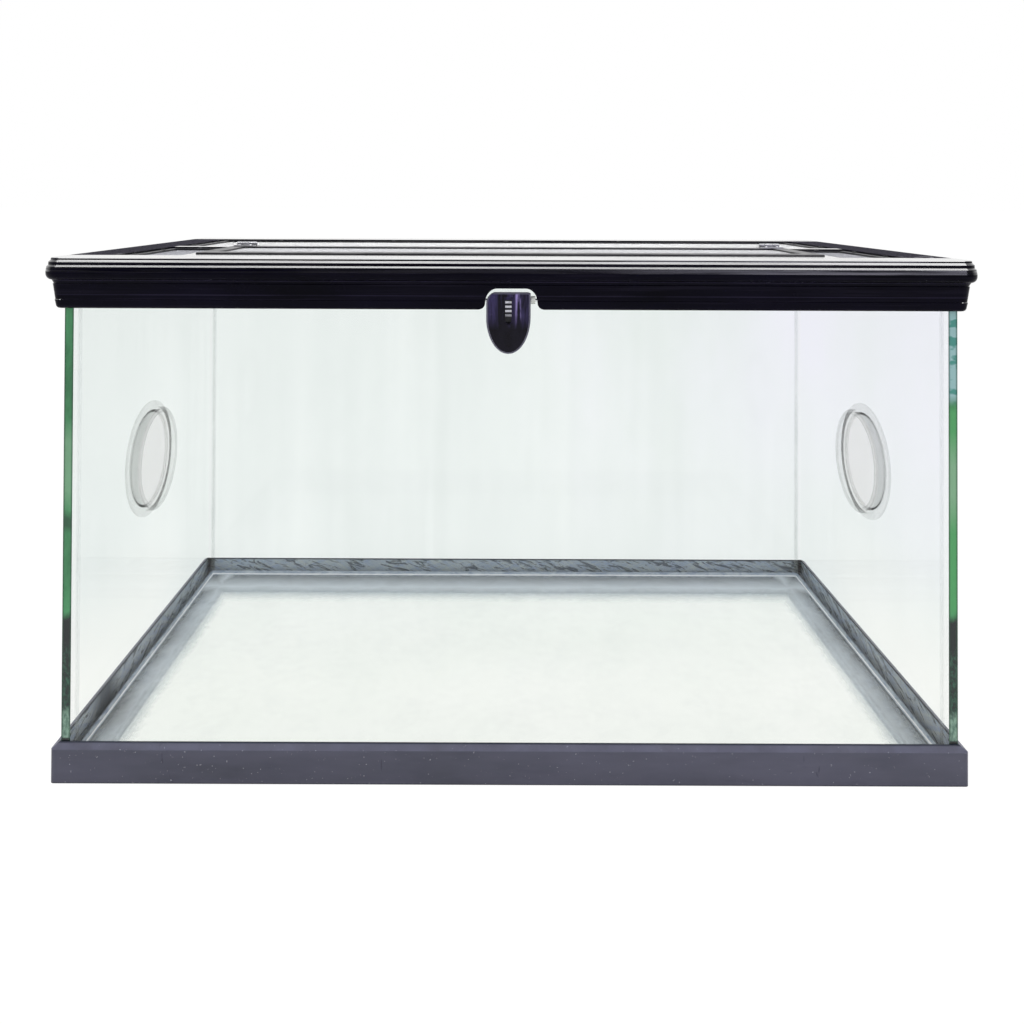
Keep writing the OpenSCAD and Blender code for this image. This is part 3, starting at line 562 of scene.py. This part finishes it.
def tape():
    """White foam tape."""
    s = Shader("foam_tape")
    colour = s.shade(s.noise(900, 3), 0.3, 0.7, (0.62, 0.63, 0.62), (0.8, 0.8, 0.79))
    return s.show(s.principled(Base_Color=colour, Roughness=0.75))


# ---------------------------------------------------------------- woven mesh

PANEL_PITCH, PANEL_WIRE = 2.4 * MM, 0.2 * MM
DISC_PITCH, DISC_WIRE = 1.5 * MM, 0.11 * MM
# a wire is drawn at this share of its width, with its four corners set out by this factor
WIRE_SHARE, CORNER_FACTOR = 0.8, 1.2


def weave(name, width, depth, pitch, wire, swell, inside=None):
    """A plain weave of four-sided wires centred on the origin in XY. inside(x, y) tells which
    stretches of wire to keep."""
    verts, faces = [], []
    side = wire / math.sqrt(2) * CORNER_FACTOR
    nx, ny = int(width / pitch), int(depth / pitch)
    xs = (np.arange(nx + 1) - nx / 2) * (width / nx)
    ys = (np.arange(ny + 1) - ny / 2) * (depth / ny)
    for along, wires, crossings in ((X_AXIS, ys, xs), (Y_AXIS, xs, ys)):
        for j, fixed in enumerate(wires):
            last = None
            for i, moving in enumerate(crossings):
                x, y = (moving, fixed) if along == X_AXIS else (fixed, moving)
                if inside and not inside(x, y):
                    last = None
                    continue
                lift = swell if (i + j + along) % 2 else -swell
                ring = len(verts)
                for a, b in ((0, side), (side, 0), (0, -side), (-side, 0)):
                    verts.append((x, y + a, lift + b) if along == X_AXIS else (x + a, y, lift + b))
                if last is not None:
                    for k in range(4):
                        n = (k + 1) % 4
                        quad = (last + k, last + n, ring + n, ring + k)
                        faces.append(quad if along == X_AXIS else quad[::-1])
                last = ring
    mesh = bpy.data.meshes.new(name)
    mesh.from_pydata(verts, [], faces)
    mesh.update()
    piece = bpy.data.objects.new(name, mesh)
    scene.collection.objects.link(piece)
    return piece


def centre_of(low, high):
    """The centre of the box between two corners."""
    return (Vector(low) + Vector(high)) / 2


def woven_panel(node, body, material):
    """A woven piece in the place of a flat CAD net."""
    low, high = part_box(node)
    width, depth, height = (high[axis] - low[axis] for axis in (X_AXIS, Y_AXIS, Z_AXIS))
    piece = weave(node + "_weave", width - 2 * PANEL_WIRE, depth - 2 * PANEL_WIRE, PANEL_PITCH,
                  PANEL_WIRE * WIRE_SHARE, height / 2 - PANEL_WIRE)
    piece.data.transform(Matrix.Translation(centre_of(low, high)))
    piece.data.materials.append(material)
    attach(piece, body)
    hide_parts(node)


def woven_disc(node, material):
    """A round woven piece, turned half a right angle, in the place of a vent's flat CAD net."""
    low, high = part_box(node)
    radius = (high[Y_AXIS] - low[Y_AXIS]) / 2 - DISC_WIRE
    swell = (high[X_AXIS] - low[X_AXIS]) / 2 - DISC_WIRE
    piece = weave(node + "_weave", 2 * radius, 2 * radius, DISC_PITCH, DISC_WIRE * WIRE_SHARE, swell,
                  lambda x, y: math.hypot(x, y) < radius)
    turn = Matrix.Rotation(math.radians(90), 4, "Y") @ Matrix.Rotation(math.radians(45), 4, "Z")
    piece.data.transform(Matrix.Translation(centre_of(low, high)) @ turn)
    piece.data.materials.append(material)
    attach(piece, "tank")
    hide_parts(node)


# ---------------------------------------------------------------- light and floor

FLOOR_REACH, FLOOR_GAP = 40.0, 0.0004
FLOOR_WHITE, FLOOR_SHARE, FLOOR_MIRRORED = 1.06, 0.9, 0.25
WORLD_FRONT, WORLD_LIGHT = 0.12, 0.55


def seen_directly(tree, path):
    """1 for what the camera sees, also through glass."""
    return tree.larger(path["Is Camera Ray"], path["Is Transmission Ray"])


def make_floor():
    """A pale matt floor that takes the object's shadow and is white to the camera."""
    mesh = bpy.data.meshes.new("floor")
    corners = [(x * FLOOR_REACH, y * FLOOR_REACH, 0) for x, y in ((-1, -1), (1, -1), (1, 1), (-1, 1))]
    mesh.from_pydata(corners, [], [(0, 1, 2, 3)])
    floor = bpy.data.objects.new("floor", mesh)
    scene.collection.objects.link(floor)
    floor.location.z = -FLOOR_GAP
    s = Shader("floor_paint")
    path = s.light_path()
    mirrored = s.glow(s.times(path["Is Glossy Ray"], FLOOR_MIRRORED))
    matt = s.node("ShaderNodeAddShader", {0: s.diffuse((0.93, 0.93, 0.925)), 1: mirrored}).outputs[0]
    white = s.times(seen_directly(s, path), FLOOR_SHARE)
    mesh.materials.append(s.show(s.mixed(white, matt, s.glow(FLOOR_WHITE))))


def make_world():
    """White where the camera or glass sees it, white behind and dark in front for what mirrors it,
    and a soft even light for the rest."""
    t = Tree(bpy.data.worlds.new("studio"), "ShaderNodeOutputWorld")
    path = t.light_path()
    depth = t.axes(t.node("ShaderNodeTexCoord").outputs["Generated"])[Y_AXIS]
    mirrored = t.ramp(depth, -0.35, 0.05, WORLD_FRONT, 1.0)
    light = t.node("ShaderNodeMix", {0: path["Is Glossy Ray"], 2: WORLD_LIGHT, 3: mirrored}).outputs[0]
    light = t.node("ShaderNodeMix", {0: seen_directly(t, path), 2: light, 3: 1.0}).outputs[0]
    sky = t.node("ShaderNodeBackground", {"Color": (1.0, 1.0, 1.0), "Strength": light})
    scene.world = t.show(sky.outputs[0])


def lamp(name, at, target, size, watts, colour=(1, 1, 1)):
    """A rectangular lamp that points at the target."""
    data = bpy.data.lights.new(name, "AREA")
    data.shape = "RECTANGLE"
    data.size, data.size_y = size
    data.energy = watts
    data.color = colour
    item = bpy.data.objects.new(name, data)
    scene.collection.objects.link(item)
    item.location = at
    item.rotation_euler = (Vector(target) - Vector(at)).to_track_quat("-Z", "Y").to_euler()


# ---------------------------------------------------------------- scene

make_camera()
make_world()
make_floor()
lamp("strip", (0, -0.245, 2.2), (0, -0.245, 0), (3.4, 0.16), 14)
lamp("overhead", (0.1, 0.1, 2.3), (0, 0, 0.1), (2.4, 1.8), 8)
lamp("front_left", (-1.6, -1.8, 1.9), (0, 0, 0.2), (1.2, 1.0), 9, (0.95, 0.96, 1.0))
lamp("front_right", (1.4, -3.0, 0.78), (0.2, 0, 0.3), (1.8, 0.45), 7, (0.84, 0.82, 1.0))

front_glass = glass("glass_front_back", (X_AXIS, Z_AXIS), Y_AXIS, FRONT_GLASS_MIDDLE, 0.7)
side_glass = glass("glass_sides", (Y_AXIS, Z_AXIS), X_AXIS, SIDE_GLASS_MIDDLE, 0.35, VENT_HOLE)
dress(front_glass, "front_glass", "back_glass")
dress(side_glass, "left_glass", "right_glass")
dress(floor_pane(), "bottom_glass")
dress(base_plastic(), "base_frame")
dress(corner_silicone(), "corner_seals")
dress(floor_silicone(), "floor_seal")
dress(vent_plastic(), "left_vent_outer", "left_vent_inner", "right_vent_outer", "right_vent_inner")
dress(black_gloss(), "lid_frame", "left_hinge_bracket", "right_hinge_bracket", "latch_keeper")
dress(black_satin(), "rear_retainer", "left_retainer", "right_retainer", "door_frame", "door_retainer")
dress(black_steel(), "retainer_screws", "door_screws")
dress(steel("pin_steel", (0.72, 0.73, 0.75), 0.2), "left_hinge_pin", "right_hinge_pin", "latch_pin",
      "left_door_hinge_pin", "right_door_hinge_pin")
dress(steel("hinge_steel", (0.62, 0.62, 0.65), 0.3), "left_door_hinge_base", "right_door_hinge_base",
      "left_door_hinge_leaf", "right_door_hinge_leaf", "door_hinge_screws")
dress(pale_plastic(), "latch_bush")
dress(tape(), "hinge_pads", "keeper_pad")
dress(tongue_plastic(), "latch_tongue")
dress(slider_plastic(), "latch_slider", "slider_clip")

pale_wire = wire_steel("pale_wire", (0.92, 0.92, 0.92), 0.35)
door_wire = wire_steel("door_wire", (0.76, 0.76, 0.78), 0.35)
dark_wire = wire_steel("dark_wire", (0.46, 0.46, 0.5), 0.5)
gauze_wire = wire_steel("gauze_wire", (0.95, 0.93, 0.91), 0.2)
woven_panel("rear_mesh", "lid", pale_wire)
woven_panel("door_mesh", "door", door_wire)
woven_panel("left_mesh", "lid", dark_wire)
woven_panel("right_mesh", "lid", dark_wire)
woven_disc("left_vent_mesh", gauze_wire)
woven_disc("right_vent_mesh", gauze_wire)

scene.view_settings.view_transform = "Standard"
